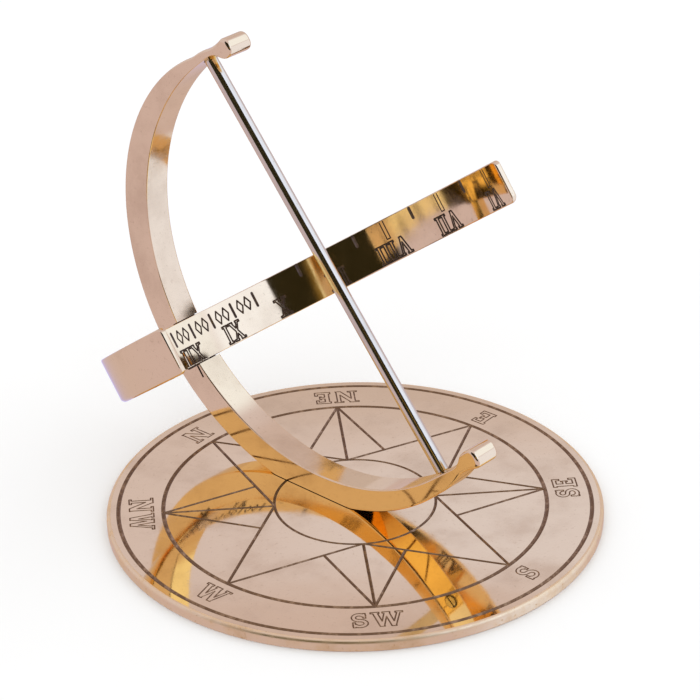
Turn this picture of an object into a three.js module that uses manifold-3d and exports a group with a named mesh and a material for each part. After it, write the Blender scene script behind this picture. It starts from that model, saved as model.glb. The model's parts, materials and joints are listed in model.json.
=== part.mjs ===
// Equatorial bow sundial in polished brass: a round plate engraved with a compass rose, a crescent bow
// that stands on it, a half-ring hour band seated in the bow, and a straight steel gnomon rod.
// Millimetres, +Z up, +Y towards compass north, origin at the centre of the plate's underside.
import * as THREE from "three";
import { mergeVertices } from "three/addons/utils/BufferGeometryUtils.js";
import Module from "manifold-3d";

const wasm = await Module();
wasm.setup();

// ---------------------------------------------------------------- driving dimensions

const CLEARANCE = 0.3; // round any piece that sits in another
const BACKLASH = 0.2; // under the bow's foot, so that it can turn on the plate
const OVERSHOOT = 5; // how far a cutting tool stands out of the face that it enters
const CIRCLE_STEPS = 120;

// Base plate
const PLATE_RADIUS = 75;
const PLATE_THICKNESS = 3.5;
const PLATE_EDGE_RADIUS = 1.2;
const PLATE_FOOT_CHAMFER = 0.4;
const RING_RADII = [24.4, 57.9, 71.4]; // the three engraved circles
const RING_GROOVE_WIDTHS = [0.9, 1.3, 1.3];
const GROOVE_DEPTH = 0.4;
const STAR_GROOVE_WIDTH = 1;
const ROSE_TURN = 2.5; // degrees that the rose sits anticlockwise of the bow's plane

// The dial's own frame stands on the plate: X points from the ring's centre to the middle of the bow,
// Y runs up the polar axis, and Z points east.
const LATITUDE = 50; // elevation of the polar axis, in degrees
const DIAL_NORTH = 11.4; // the ring's centre and the foot screw lie this far north of the plate's centre
const DIAL_HEIGHT = 75.9; // of the ring's centre above the plate
const FOOT_BORE_DEPTH = 7; // in the underside of the bow

// Meridian bow
const BOW_INNER_RADIUS = 68.4;
const BOW_WIDTH = 9.2;
const BOW_MIDDLE_THICKNESS = 10.2;
const BOW_ARC_ANGLE = 90; // from the middle of the bow to the start of each neck
const BOW_EDGE = 0.8;
const BOW_ARC_STEPS = 44;
// The bow's two ends. inner, waistOuter, heel and toe are distances along the polar axis from the ring's
// centre, and waist, toeRoot and end lie that far behind it. fullness is how long the crescent stays
// thick before it thins to its neck.
const UPPER_END = {
  inner: 68.4,
  neck: 2.8,
  fullness: 3.4,
  waist: 8.5,
  waistOuter: 70.1,
  heel: 70.4,
  end: 16.4,
  toe: 64.5,
  toeRoot: 10,
};
const LOWER_END = {
  inner: 69.9,
  neck: 4.8,
  fullness: 2.4,
  waist: 12.5,
  waistOuter: 72.5,
  heel: 73.2,
  end: 22.3,
  toe: 67,
  toeRoot: 15,
};
const HOOF_DOME = 2.6; // how far each hoof's end face curves back at its heel and toe

// Hour band
const BAND_THICKNESS = 2;
const BAND_WIDTH = 14;
const BAND_INNER_RADIUS = 67.7;
const BAND_WEST_END = 96.5; // degrees from the bow
const BAND_EAST_END = 104.5;
const BAND_EDGE = 0.4;
const NOTCH_HALF_ANGLE = 12; // of the band's arc that the cutter for its slot covers
const BAND_CENTRE = new THREE.Vector2(0.5, -2.4); // in the dial's frame
const BAND_DROOP = 3.5; // degrees that the hand-fitted band hangs below square
const SAW_CUT_LENGTH = 4.5; // from the band's lower edge, in the bow's west side
const SAW_CUT_WIDTH = 0.8;
const SAW_CUT_DEPTH = 1.5;

// Gnomon rod
const ROD_RADIUS = 2;
const ROD_OFFSET = -1.8; // of its axis from the ring's centre, along the dial's X
const ROD_SEAT_DEPTH = 1.6; // in the upper neck
const ROD_END_CHAMFER = 0.3;

// Screws
const FOOT_SCREW = { shank: 2, head: 3.8, headHeight: 1.3, length: 8.5, slot: 0.9 };
const BAND_SCREW = { shank: 1.25, head: 2.5, headHeight: 1.3, slot: 0.6, bite: 1.2 };
const GNOMON_SCREW = { shank: 1, head: 1.9, headHeight: 1, slot: 0.5, bite: 6 };
const SCREW_POINT = 0.3;
const SCREW_HEAD_EDGE = 0.2;
const WASHER = { inner: 2.3, outer: 4.9, thickness: 0.4 };
const COUNTERBORE_DEPTH = 2.3;
const HEAD_SINK = 0.4; // of the band and gnomon screws' heads below the brass

// ---------------------------------------------------------------- materials

const brass = new THREE.MeshStandardMaterial({ color: 0xd8a24e, roughness: 0.12, metalness: 1 });
const patinatedBrass = new THREE.MeshStandardMaterial({ color: 0xc89a5a, roughness: 0.2, metalness: 1 });
const steel = new THREE.MeshStandardMaterial({ color: 0xc4c6c8, roughness: 0.12, metalness: 1 });

// ---------------------------------------------------------------- solids

const toRadians = THREE.MathUtils.degToRad;

function solid(geometry) {
  const bare = new THREE.BufferGeometry();
  const source = geometry.index ? geometry.toNonIndexed() : geometry;
  bare.setAttribute("position", source.getAttribute("position"));
  const merged = mergeVertices(bare, 1e-4);
  return new wasm.Manifold(
    new wasm.Mesh({
      numProp: 3,
      vertProperties: new Float32Array(merged.attributes.position.array),
      triVerts: new Uint32Array(merged.index.array),
    }),
  );
}

function geometryOf(manifold) {
  const mesh = manifold.getMesh();
  const geometry = new THREE.BufferGeometry();
  geometry.setAttribute("position", new THREE.BufferAttribute(mesh.vertProperties, 3));
  geometry.setIndex(new THREE.BufferAttribute(mesh.triVerts, 1));
  geometry.computeVertexNormals();
  return geometry;
}

function cut(geometry, ...tools) {
  const left = tools.reduce((body, tool) => body.subtract(solid(tool)), solid(geometry));
  return geometryOf(left);
}

// A turned solid about +Z from its half section, listed as [radius, height] from the bottom up.
function turned(section, steps) {
  const points = section.map(([radius, height]) => new THREE.Vector2(radius, height));
  return new THREE.LatheGeometry(points, steps).rotateX(Math.PI / 2);
}

function cylinder(radius, bottom, top, steps = 24) {
  return turned([[0, bottom], [radius, bottom], [radius, top], [0, top]], steps);
}

// An outline in X and Y, given thickness along Z with its edges rounded off.
function rounded(shape, thickness, edge, edgeSteps, curveSteps = 1) {
  return new THREE.ExtrudeGeometry(shape, {
    depth: thickness - 2 * edge,
    bevelThickness: edge,
    bevelSize: edge,
    bevelOffset: -edge,
    bevelSegments: edgeSteps,
    curveSegments: curveSteps,
  }).translate(0, 0, edge - thickness / 2);
}

// Geometry made along +Z, turned to point from one place along a direction.
function aimed(geometry, place, direction) {
  const turn = new THREE.Quaternion().setFromUnitVectors(
    new THREE.Vector3(0, 0, 1),
    direction.clone().normalize(),
  );
  return geometry.applyQuaternion(turn).translate(place.x, place.y, place.z);
}

function named(name, geometry, material) {
  const mesh = new THREE.Mesh(geometry, material.clone());
  mesh.name = name;
  return mesh;
}

// ---------------------------------------------------------------- base plate

function compassPoint(radius, bearing) {
  const angle = toRadians(bearing - ROSE_TURN);
  return new THREE.Vector2(radius * Math.sin(angle), radius * Math.cos(angle));
}

// Where the line from a to b crosses the line from c to d.
function crossing(a, b, c, d) {
  const along = b.clone().sub(a);
  const across = d.clone().sub(c);
  const t = c.clone().sub(a).cross(across) / along.cross(across);
  return a.clone().addScaledVector(along, t);
}

// The rose's straight lines: a four-pointed star, and behind it four more points, each with a middle line.
function roseLines() {
  const [inner, outer] = RING_RADII;
  const lines = [];
  for (let quarter = 0; quarter < 4; quarter++) {
    const bearing = 90 * quarter;
    const tip = compassPoint(outer, bearing);
    const nextTip = compassPoint(outer, bearing + 90);
    const valley = compassPoint(inner, bearing + 45);
    lines.push([tip, valley], [valley, nextTip]);
    const diagonalTip = compassPoint(outer, bearing + 45);
    lines.push([diagonalTip, valley]);
    for (const [side, near] of [[-45, tip], [135, nextTip]]) {
      const farValley = compassPoint(inner, bearing + side);
      lines.push([diagonalTip, crossing(diagonalTip, farValley, near, valley)]);
    }
  }
  return lines;
}

// A V-shaped cutter that lies along a line of the rose.
function lineCutter([from, to], top) {
  const section = new THREE.Shape([
    new THREE.Vector2(-STAR_GROOVE_WIDTH / 2, GROOVE_DEPTH),
    new THREE.Vector2(0, 0),
    new THREE.Vector2(STAR_GROOVE_WIDTH / 2, GROOVE_DEPTH),
  ]);
  const bar = new THREE.ExtrudeGeometry(section, { depth: from.distanceTo(to), bevelEnabled: false });
  const heading = to.clone().sub(from).angle();
  return bar
    .rotateX(Math.PI / 2)
    .rotateZ(Math.PI / 2 + heading)
    .translate(from.x, from.y, top - GROOVE_DEPTH + 0.01);
}

function basePlate() {
  const top = PLATE_THICKNESS;
  const section = [
    [0, 0],
    [PLATE_RADIUS - PLATE_FOOT_CHAMFER, 0],
    [PLATE_RADIUS, PLATE_FOOT_CHAMFER],
  ];
  const edgeSteps = 4;
  for (let i = 0; i <= edgeSteps; i++) {
    const angle = ((Math.PI / 2) * i) / edgeSteps;
    section.push([
      PLATE_RADIUS - PLATE_EDGE_RADIUS * (1 - Math.cos(angle)),
      top - PLATE_EDGE_RADIUS * (1 - Math.sin(angle)),
    ]);
  }
  for (let ring = RING_RADII.length - 1; ring >= 0; ring--) {
    const half = RING_GROOVE_WIDTHS[ring] / 2;
    section.push(
      [RING_RADII[ring] + half, top],
      [RING_RADII[ring], top - GROOVE_DEPTH],
      [RING_RADII[ring] - half, top],
    );
  }
  section.push([0, top]);
  const screwHole = cylinder(FOOT_SCREW.shank + CLEARANCE, -OVERSHOOT, top + OVERSHOOT);
  const counterbore = cylinder(WASHER.outer + CLEARANCE, -OVERSHOOT, COUNTERBORE_DEPTH, 48);
  for (const hole of [screwHole, counterbore]) hole.translate(0, DIAL_NORTH, 0);
  const grooves = roseLines().map((line) => lineCutter(line, top));
  return cut(turned(section, CIRCLE_STEPS), screwHole, counterbore, ...grooves);
}

// ---------------------------------------------------------------- meridian bow

// The crescent's inner and outer radius at an angle from its middle, in degrees, upwards positive.
function bowRadii(degrees) {
  const end = degrees < 0 ? LOWER_END : UPPER_END;
  const share = Math.abs(degrees) / BOW_ARC_ANGLE;
  const inner = BOW_INNER_RADIUS + (end.inner - BOW_INNER_RADIUS) * share ** 2;
  const thickness = end.neck + (BOW_MIDDLE_THICKNESS - end.neck) * (1 - share ** end.fullness);
  return { inner, outer: inner + thickness };
}

// Points along one side of the crescent between its necks, from a start angle to an end angle.
function crescentArc(start, end, radiusAt) {
  const points = [];
  for (let i = 0; i <= BOW_ARC_STEPS; i++) {
    const degrees = start + ((end - start) * i) / BOW_ARC_STEPS;
    const angle = toRadians(degrees);
    const radius = radiusAt(degrees);
    points.push(new THREE.Vector2(radius * Math.cos(angle), radius * Math.sin(angle)));
  }
  return points;
}

// The outline of an end of the bow from outside to inside, as if it were the upper one: a neck, a waist, a
// heel, a domed end face, and a toe.
function hoof(size) {
  const { inner, neck, waist, waistOuter, heel, end, toe, toeRoot } = size;
  const path = new THREE.Path();
  path.moveTo(-1.5, inner + neck);
  path.quadraticCurveTo(-waist / 2, inner + neck, -waist, waistOuter);
  path.quadraticCurveTo(-(waist + end) / 2, waistOuter - 0.2, HOOF_DOME - end, heel);
  path.quadraticCurveTo(-end, heel, -end, (heel + toe) / 2);
  path.quadraticCurveTo(-end, toe, HOOF_DOME - end, toe);
  path.quadraticCurveTo(-toeRoot - 1.5, toe - 0.1, -toeRoot, (toe + inner) / 2);
  path.quadraticCurveTo(1.5 - toeRoot, inner, 4.5 - toeRoot, inner);
  return path.getPoints(5);
}

// The crescent's outline, with a hoof at each end.
function bowOutline() {
  const outerArc = crescentArc(-BOW_ARC_ANGLE, BOW_ARC_ANGLE, (degrees) => bowRadii(degrees).outer);
  const innerArc = crescentArc(BOW_ARC_ANGLE, -BOW_ARC_ANGLE, (degrees) => bowRadii(degrees).inner);
  const lower = hoof(LOWER_END).map((point) => new THREE.Vector2(point.x, -point.y));
  return new THREE.Shape([...outerArc, ...hoof(UPPER_END), ...innerArc, ...lower.reverse()]);
}

// Part of a ring in the band's own frame, where angles grow towards the west.
function bandShape(innerRadius, outerRadius, eastAngle, westAngle) {
  const east = -toRadians(eastAngle);
  const west = toRadians(westAngle);
  const shape = new THREE.Shape();
  shape.absarc(0, 0, outerRadius, east, west, false);
  shape.absarc(0, 0, innerRadius, west, east, true);
  return shape;
}

// Carries geometry from the band's own frame, with Z along its axis, into the dial's frame.
function seatBand(geometry) {
  return geometry
    .rotateX(-Math.PI / 2)
    .rotateZ(toRadians(BAND_DROOP))
    .translate(BAND_CENTRE.x, BAND_CENTRE.y, 0);
}

// Directions in the dial's frame: straight down, and both ways along the polar axis.
const DOWN = new THREE.Vector3(Math.cos(toRadians(LATITUDE)), -Math.sin(toRadians(LATITUDE)), 0);
const UP_AXIS = new THREE.Vector3(0, 1, 0);
const DOWN_AXIS = new THREE.Vector3(0, -1, 0);
const BAND_DIRECTION = new THREE.Vector3(
  Math.cos(toRadians(BAND_DROOP)),
  Math.sin(toRadians(BAND_DROOP)),
  0,
);
const BAND_SEAT = new THREE.Vector3(BAND_CENTRE.x, BAND_CENTRE.y, 0).addScaledVector(
  BAND_DIRECTION,
  BAND_INNER_RADIUS + BAND_THICKNESS,
);
// Where the band screw's head ends, just inside the bow's back.
const BAND_SCREW_HEAD = BAND_SEAT.clone().addScaledVector(
  BAND_DIRECTION,
  BOW_INNER_RADIUS + BOW_MIDDLE_THICKNESS - BAND_SEAT.length() - HEAD_SINK,
);
const LOWER_NECK = new THREE.Vector3(ROD_OFFSET, -LOWER_END.inner, 0);

// The open slot that the band sits in, and a short saw cut that runs on from it.
function bandNotch() {
  const innermost = BAND_INNER_RADIUS - OVERSHOOT;
  const floor = BAND_INNER_RADIUS + BAND_THICKNESS + CLEARANCE;
  const section = bandShape(innermost, floor, NOTCH_HALF_ANGLE, NOTCH_HALF_ANGLE);
  const notch = new THREE.ExtrudeGeometry(section, {
    depth: BAND_WIDTH + 2 * CLEARANCE,
    bevelEnabled: false,
    curveSegments: 6,
  }).translate(0, 0, -BAND_WIDTH / 2 - CLEARANCE);
  const sawCut = new THREE.BoxGeometry(SAW_CUT_WIDTH, 2 * SAW_CUT_DEPTH, 2 * SAW_CUT_LENGTH);
  sawCut.translate(BAND_INNER_RADIUS + SAW_CUT_WIDTH, BOW_WIDTH / 2, -BAND_WIDTH / 2);
  return [seatBand(notch), seatBand(sawCut)];
}

// The flat that the bow stands on, and the tapped bore in it.
function footCuts() {
  const block = new THREE.BoxGeometry(BOW_INNER_RADIUS, BOW_INNER_RADIUS, 4 * OVERSHOOT);
  block.translate(0, 0, 2 * OVERSHOOT);
  const bore = cylinder(FOOT_SCREW.shank + CLEARANCE, -FOOT_BORE_DEPTH, OVERSHOOT);
  return [
    aimed(block, DOWN.clone().multiplyScalar(DIAL_HEIGHT - BACKLASH), DOWN),
    aimed(bore, DOWN.clone().multiplyScalar(DIAL_HEIGHT), DOWN),
  ];
}

// A blind seat in the upper neck for the rod's top, and the lower neck's bore for the screw below it.
function gnomonSeats() {
  const upperNeck = new THREE.Vector3(ROD_OFFSET, UPPER_END.inner, 0);
  const seat = cylinder(ROD_RADIUS + CLEARANCE, -OVERSHOOT, ROD_SEAT_DEPTH + CLEARANCE);
  const hole = cylinder(GNOMON_SCREW.shank + CLEARANCE, -OVERSHOOT, 2 * OVERSHOOT, 16);
  const headSeat = LOWER_END.neck - HEAD_SINK - GNOMON_SCREW.headHeight - CLEARANCE;
  const head = cylinder(GNOMON_SCREW.head + CLEARANCE, headSeat, 2 * OVERSHOOT);
  return [
    aimed(seat, upperNeck, UP_AXIS),
    aimed(hole, LOWER_NECK, DOWN_AXIS),
    aimed(head, LOWER_NECK, DOWN_AXIS),
  ];
}

function bandScrewBores() {
  const depth = BAND_SCREW_HEAD.distanceTo(BAND_SEAT);
  const hole = cylinder(BAND_SCREW.shank + CLEARANCE, -depth - OVERSHOOT, 0, 16);
  const head = cylinder(BAND_SCREW.head + CLEARANCE, -BAND_SCREW.headHeight - CLEARANCE, OVERSHOOT);
  return [
    aimed(hole, BAND_SCREW_HEAD, BAND_DIRECTION),
    aimed(head, BAND_SCREW_HEAD, BAND_DIRECTION),
  ];
}

function meridianBow() {
  const body = rounded(bowOutline(), BOW_WIDTH, BOW_EDGE, 3);
  return cut(body, ...bandNotch(), ...footCuts(), ...gnomonSeats(), ...bandScrewBores());
}

// ---------------------------------------------------------------- hour band and gnomon rod

function hourBand() {
  const outer = BAND_INNER_RADIUS + BAND_THICKNESS;
  const section = bandShape(BAND_INNER_RADIUS, outer, BAND_EAST_END, BAND_WEST_END);
  const strip = seatBand(rounded(section, BAND_WIDTH, BAND_EDGE, 2, 72));
  const tapping = cylinder(BAND_SCREW.shank + CLEARANCE, -BAND_SCREW.bite - CLEARANCE, OVERSHOOT, 16);
  return cut(strip, aimed(tapping, BAND_SEAT, BAND_DIRECTION));
}

// The rod stands on the lower neck, where a screw enters its tapped end, and its top sits in the upper neck.
function gnomonRod() {
  const bottom = CLEARANCE - LOWER_END.inner;
  const top = UPPER_END.inner + ROD_SEAT_DEPTH;
  const section = [
    [0, bottom],
    [ROD_RADIUS - ROD_END_CHAMFER, bottom],
    [ROD_RADIUS, bottom + ROD_END_CHAMFER],
    [ROD_RADIUS, top - ROD_END_CHAMFER],
    [ROD_RADIUS - ROD_END_CHAMFER, top],
    [0, top],
  ];
  const depth = bottom + GNOMON_SCREW.bite + CLEARANCE;
  const tapping = cylinder(GNOMON_SCREW.shank + CLEARANCE, bottom - OVERSHOOT, depth, 16);
  return aimed(cut(turned(section, 40), tapping), new THREE.Vector3(ROD_OFFSET, 0, 0), UP_AXIS);
}

// ---------------------------------------------------------------- fasteners

// A slotted screw whose head ends at z = 0 with its shank running down from it.
function screw(size, length) {
  const neck = -size.headHeight;
  const section = [
    [0, -length],
    [size.shank - SCREW_POINT, -length],
    [size.shank, -length + SCREW_POINT],
    [size.shank, neck],
    [size.head, neck],
    [size.head, -SCREW_HEAD_EDGE],
    [size.head - SCREW_HEAD_EDGE, 0],
    [0, 0],
  ];
  const slot = new THREE.BoxGeometry(3 * size.head, size.slot, size.headHeight);
  return cut(turned(section, 28), slot);
}

function footWasher() {
  const { inner, outer, thickness } = WASHER;
  const section = [[inner, 0], [outer, 0], [outer, thickness], [inner, thickness], [inner, 0]];
  return turned(section, 36);
}

// ---------------------------------------------------------------- assembly

const sundial = new THREE.Group();
sundial.add(named("base_plate", basePlate(), brass));

const washerBottom = COUNTERBORE_DEPTH - BACKLASH - WASHER.thickness;
const washer = named("foot_washer", footWasher(), steel);
washer.position.set(0, DIAL_NORTH, washerBottom);
const headTop = washerBottom - BACKLASH;
const footScrew = named("foot_screw", screw(FOOT_SCREW, FOOT_SCREW.length), steel);
footScrew.position.set(0, DIAL_NORTH, headTop - FOOT_SCREW.headHeight);
footScrew.rotation.x = Math.PI;
sundial.add(washer, footScrew);

const dial = new THREE.Group();
dial.position.set(0, DIAL_NORTH, PLATE_THICKNESS + DIAL_HEIGHT);
const polar = toRadians(LATITUDE);
dial.quaternion.setFromRotationMatrix(
  new THREE.Matrix4().makeBasis(
    new THREE.Vector3(0, Math.sin(polar), -Math.cos(polar)),
    new THREE.Vector3(0, Math.cos(polar), Math.sin(polar)),
    new THREE.Vector3(1, 0, 0),
  ),
);
dial.add(named("meridian_bow", meridianBow(), brass));
dial.add(named("hour_band", hourBand(), patinatedBrass));
dial.add(named("gnomon_rod", gnomonRod(), steel));

const bandScrewLength = BAND_SCREW_HEAD.distanceTo(BAND_SEAT) + BAND_SCREW.bite;
dial.add(
  named(
    "band_screw",
    aimed(screw(BAND_SCREW, bandScrewLength), BAND_SCREW_HEAD, BAND_DIRECTION),
    patinatedBrass,
  ),
);
const gnomonScrewHead = LOWER_NECK.clone().setY(HEAD_SINK - LOWER_END.inner - LOWER_END.neck);
dial.add(
  named(
    "gnomon_screw",
    aimed(
      screw(GNOMON_SCREW, LOWER_END.neck + GNOMON_SCREW.bite - HEAD_SINK),
      gnomonScrewHead,
      DOWN_AXIS,
    ),
    steel,
  ),
);
sundial.add(dial);

export default sundial;
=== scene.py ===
"""Looks of an equatorial bow sundial: engraved and polished pieces in place of the CAD's plain ones."""

import json
import math
from collections import Counter, namedtuple

import bmesh
import bpy
import numpy as np
from mathutils import Matrix, Vector
from mathutils.geometry import delaunay_2d_cdt


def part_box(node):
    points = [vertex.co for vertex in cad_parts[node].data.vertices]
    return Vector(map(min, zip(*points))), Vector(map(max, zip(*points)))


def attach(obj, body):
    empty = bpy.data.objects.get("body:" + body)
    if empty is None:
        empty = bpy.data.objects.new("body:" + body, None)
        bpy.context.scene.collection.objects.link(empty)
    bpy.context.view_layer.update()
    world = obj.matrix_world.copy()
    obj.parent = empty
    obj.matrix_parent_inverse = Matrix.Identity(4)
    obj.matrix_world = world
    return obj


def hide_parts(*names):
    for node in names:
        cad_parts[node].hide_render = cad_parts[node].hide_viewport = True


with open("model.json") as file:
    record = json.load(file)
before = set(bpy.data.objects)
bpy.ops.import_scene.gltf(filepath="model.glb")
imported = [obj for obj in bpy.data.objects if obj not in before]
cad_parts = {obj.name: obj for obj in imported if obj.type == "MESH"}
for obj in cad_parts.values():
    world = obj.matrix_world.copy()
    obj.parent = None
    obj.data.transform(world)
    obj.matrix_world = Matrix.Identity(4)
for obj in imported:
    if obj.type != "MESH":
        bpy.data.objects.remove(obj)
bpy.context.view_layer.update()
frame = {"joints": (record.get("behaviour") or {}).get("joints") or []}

MM = 0.001  # shapes are worked out in millimetres and placed in metres
POLISHED, PATINATED, RIM = range(3)  # what a face's material index stands for

# ---------------------------------------------------------------- places, from the frame

PLATE_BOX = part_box("base_plate")
PLATE_RADIUS = PLATE_BOX[1].x / MM
PLATE_TOP = PLATE_BOX[1].z / MM
SWIVEL = Vector(frame["joints"][0]["pos_m"]) / MM
ROD_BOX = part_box("gnomon_rod")
ROD_RADIUS = ROD_BOX[1].x / MM
ROD_MIDDLE = (ROD_BOX[0] + ROD_BOX[1]) / 2 / MM

# The dial's own frame: X points from the ring's centre to the middle of the bow, Y runs up the polar
# axis and Z points east.
LATITUDE = math.radians(50)
DIAL_X = Vector((0, math.sin(LATITUDE), -math.cos(LATITUDE)))
DIAL_Y = Vector((0, math.cos(LATITUDE), math.sin(LATITUDE)))
DIAL_Z = Vector((1, 0, 0))

# ---------------------------------------------------------------- dimensions, in millimetres

CLEARANCE = 0.3  # round any piece that sits in another
BACKLASH = 0.2  # above and below the washer, and under the bow's foot
OVERSHOOT = 5  # how far a cutting tool stands out of the face that it enters
SHARP_ANGLE = math.radians(28)  # from which an edge between two faces is shaded sharp

PLATE_EDGE = 1.2
PLATE_FOOT_EDGE = 0.4
PLATE_STEPS = 360
BORE_STEPS = 48
RING_RADII = (24.4, 57.9, 71.4)
RING_WIDTHS = (0.9, 1.3, 1.3)
GROOVE_DEPTH = 0.4
STAR_WIDTH = 0.95
ROSE_TURN = math.radians(2.5)  # the rose sits this far anticlockwise of the bow's plane
COMPASS_POINTS = ("N", "NE", "E", "SE", "S", "SW", "W", "NW")
LETTER_HEIGHT = 7.2
LETTER_SPACING = 0.9
LETTER_RING = 64.4  # radius of the middle of the letters
LETTER_LINE = 0.48
LETTER_DEPTH = 0.2

BOW_INNER_RADIUS = 68.4
BOW_WIDTH = 9.2
BOW_MIDDLE_THICKNESS = 10.2
BOW_ARC_ANGLE = 90  # degrees from the middle of the bow to the start of each neck
BOW_ARC_STEPS = 360
BOW_SPACING = 0.4  # between the points of its outline
BOW_OUTER_EDGE = 0.8
BOW_INNER_EDGE = 0.45
HOOF_EDGE = 1.3
# The bow's two ends. inner, waist_outer, heel and toe are distances along the polar axis from the ring's
# centre, and waist, toe_root and end lie that far behind it. neck is how thick the neck is, and fullness
# is how long the crescent stays thick before it thins to it.
UPPER_END = {
    "inner": 68.4,
    "neck": 2.8,
    "fullness": 3.4,
    "waist": 8.5,
    "waist_outer": 70.1,
    "heel": 70.4,
    "end": 16.4,
    "toe": 64.5,
    "toe_root": 10,
}
LOWER_END = {
    "inner": 69.9,
    "neck": 4.8,
    "fullness": 2.4,
    "waist": 12.5,
    "waist_outer": 72.5,
    "heel": 73.2,
    "end": 22.3,
    "toe": 67,
    "toe_root": 15,
}
HOOF_DOME = 2.6  # how far each hoof's end face curves back at its heel and toe
HOOF_HOLLOW = 0.2  # of the hoof's back, between its waist and its heel
HOOF_FILLET = 1.5
HOOF_BEND_STEPS = 24
DIAL_HEIGHT = 75.9  # of the ring's centre above the plate
FOOT_BORE_DEPTH = 7

BAND_THICKNESS = 2
BAND_WIDTH = 14
BAND_INNER_RADIUS = 67.7
BAND_WEST_END = math.radians(96.5)
BAND_EAST_END = math.radians(104.5)
BAND_CENTRE = Vector((0.5, -2.4, 0))
BAND_DROOP = math.radians(3.5)
BAND_OUTWARD = Vector((math.cos(BAND_DROOP), math.sin(BAND_DROOP), 0))  # from its axis to the bow
BAND_UP = Vector((-math.sin(BAND_DROOP), math.cos(BAND_DROOP), 0))
EAST = Vector((0, 0, 1))
# The hand-bent strip's inner face is shaded as if it leaned a little, though its shape doesn't: how far, as
# a slope, and between which degrees east of the bow the lean grows from nothing to full.
BAND_LEANS = ((0.075, 8, 0), (-0.045, 50, 78))
BAND_INNER_EDGE = 0.3
BAND_OUTER_EDGES = (1.4, 0.5)  # the outer face's lower edge is rounded off more than its upper one
BAND_END_EDGE = 0.5
BAND_CORNER = 1.8
BAND_STATIONS = 403
NOTCH_HALF_LENGTH = 15  # of the cutter for the band's slot
SAW_CUT = (0.8, 1.5, 4.5)  # width, depth and length past the band

# Hours are counted before noon, towards the east, and places along the band run the same way.
HOUR_NAMES = {0: "XII", 1: "XI", 2: "X", 3: "IX", 4: "VIII", 5: "VII", 6: "VI"}
HOUR_NAMES.update({-1: "I", -2: "II", -3: "III", -4: "IV", -5: "V"})
HALF_HOURS = (-4.5, -3.5, -2.5, 2.5, 3.5, 4.5, 5.5)
NOON = -4.1  # degrees east of the bow's middle
HOUR_STEP = 14.6  # degrees, next to noon
HOUR_SPREAD = 0.39  # how the hand-laid hours widen away from it
NUMERAL_HEIGHT = 6
NUMERAL_SQUEEZE = 0.78
NUMERAL_SPACING = 0.3
NUMERAL_LINE = 0.55
NUMERAL_LEVEL = -3.4
NOON_LEVEL = -4.2
MARK_TOP = BAND_WIDTH / 2 - 0.6
HOUR_MARK_WIDTH = 1.2  # of the hollow mark at an hour
HOUR_MARK_BOTTOM = 0.6
HOUR_LINE = 0.4
HALF_HOUR_WIDTH = 1.1
HALF_HOUR_BOTTOM = 3
ENGRAVING_DEPTH = 0.26
BORDER_START = math.radians(-34)
BORDER_COUNT = 24
BORDER_LEVEL = 2.8
BORDER_HEIGHT = 4.4
BORDER_PITCH = 2.8
BORDER_BAR_WIDTH = 0.9
LOZENGE_REACH = 0.38 * BORDER_PITCH

ROD_OFFSET = -1.8
ROD_SEAT_DEPTH = 1.6
ROD_CHAMFER = 0.3

FOOT_SCREW = {"shank": 2, "head": 3.8, "head_height": 1.3, "slot": 0.9}
BAND_SCREW = {"shank": 1.25, "head": 2.5, "head_height": 1.3, "slot": 0.6}
GNOMON_SCREW = {"shank": 1, "head": 1.9, "head_height": 1, "slot": 0.5}
FOOT_SCREW_LENGTH = 8.5
BAND_SCREW_BITE = 1.2
GNOMON_SCREW_BITE = 6
SCREW_EDGE = 0.3  # of its head and its point
HEAD_SINK = 0.4  # of the band and gnomon screws' heads below the brass
WASHER = {"inner": 2.3, "outer": 4.9, "thickness": 0.4, "edge": 0.12}
COUNTERBORE_DEPTH = 2.3

# The ring's centre is found from the middle of the rod.
ROD_BOTTOM = CLEARANCE - LOWER_END["inner"]
ROD_TOP = UPPER_END["inner"] + ROD_SEAT_DEPTH
DIAL_ORIGIN = ROD_MIDDLE - DIAL_X * ROD_OFFSET - DIAL_Y * (ROD_BOTTOM + ROD_TOP) / 2
TO_PLATE = Matrix.Scale(MM, 4)
DIAL_TURN = Matrix((DIAL_X, DIAL_Y, DIAL_Z)).transposed().to_4x4()
TO_DIAL = TO_PLATE @ Matrix.Translation(DIAL_ORIGIN) @ DIAL_TURN

# ---------------------------------------------------------------- engraving

END_SIDES = 8  # a groove's round ends are octagons
ROUND_END = 0.92  # the share of the ends' radius that lies inside their sides
SHALLOWEST = 0.004  # what lies less deep than this counts as the surface
Groove = namedtuple("Groove", "start end width depth")
Circle = namedtuple("Circle", "radius width depth steps")


def groove_depths(points, grooves, circles):
    """How deep each point of a sheet lies below it: every groove is a V along its line."""
    depths = np.zeros(len(points))
    for circle in circles:
        off = np.abs(np.hypot(points[:, 0], points[:, 1]) - circle.radius)
        depths = np.maximum(depths, circle.depth * (1 - off / (circle.width / 2)))
    for groove in grooves:
        start = np.array(groove.start)
        along = np.array(groove.end) - start
        share = np.clip((points - start) @ along / (along @ along), 0, 1)
        off = np.hypot(*(points - start - share[:, None] * along).T)
        depths = np.maximum(depths, groove.depth * (1 - off / (ROUND_END * groove.width / 2)))
    return np.where(depths < SHALLOWEST, 0, depths)


def ring_points(radius, steps, centre=(0, 0), turn=0):
    angles = turn + np.arange(steps) * 2 * math.pi / steps
    return [(centre[0] + radius * math.cos(a), centre[1] + radius * math.sin(a)) for a in angles]


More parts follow.
